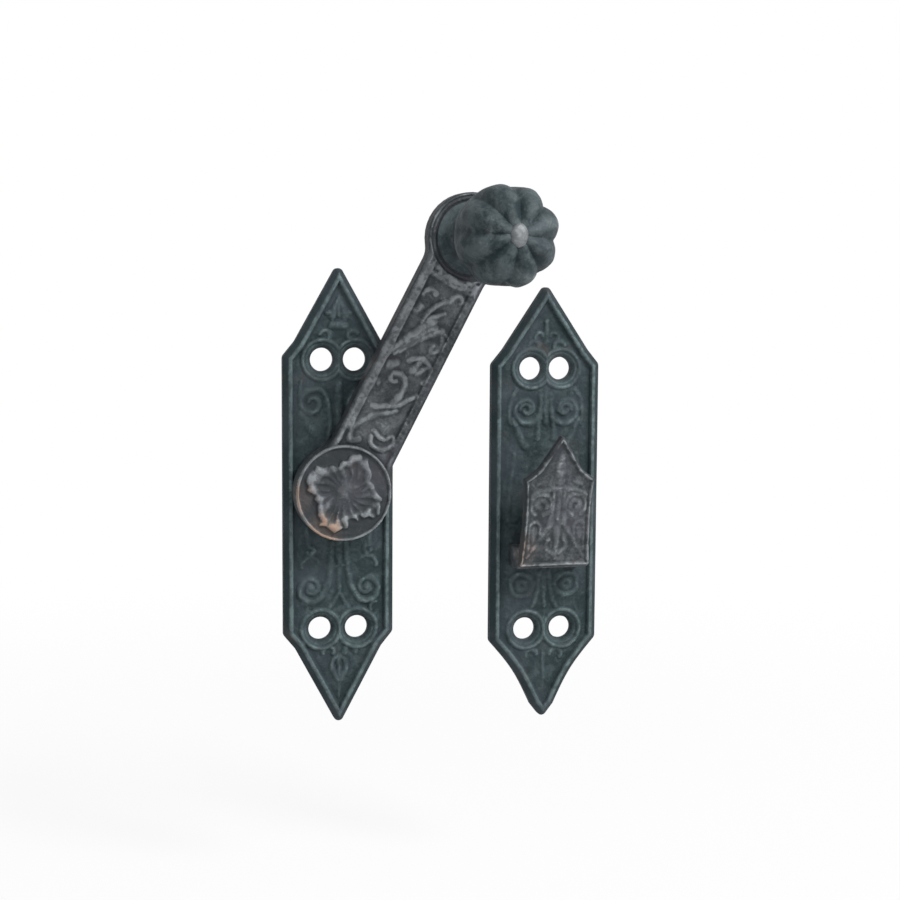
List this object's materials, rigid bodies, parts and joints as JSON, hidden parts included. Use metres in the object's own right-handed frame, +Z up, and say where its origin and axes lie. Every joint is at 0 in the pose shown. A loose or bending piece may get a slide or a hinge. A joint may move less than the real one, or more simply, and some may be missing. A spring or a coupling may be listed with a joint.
{
  "type": "swinging bar latch with keeper",
  "caption": "Ornate cast-iron swinging bar latch: a pivoting arm with a melon knob on a pointed plate, and a matching keeper plate with a shield-fronted hook.",
  "frame": {"origin": "on the back face of the latch plate, on the axis that the arm turns about", "axes": "+X to the right along the wall, towards the keeper; +Y into the wood; +Z up along the plates"},
  "size_m": [0.0792, 0.0464, 0.1305],
  "materials": {
    "plate_iron": "blackened, rough as cast",
    "worn_iron": "blackened, rubbed grey on the high places",
    "rivet_steel": "dull, hammered"
  },
  "bodies": {
    "root": {"latch_plate": "plate_iron", "cup_washer": "rivet_steel", "keeper_plate": "plate_iron", "catch": "worn_iron"},
    "arm": {"swing_arm": "worn_iron", "pivot_screw": "rivet_steel", "knob": "worn_iron", "knob_rivet": "rivet_steel"}
  },
  "joints": [
    {"name": "arm_swing", "type": "hinge", "parent": "root", "child": "arm", "pos_m": [0, 0, 0], "axis": [0, -1, 0], "range_deg": [-67.5, 207.5]}
  ]
}
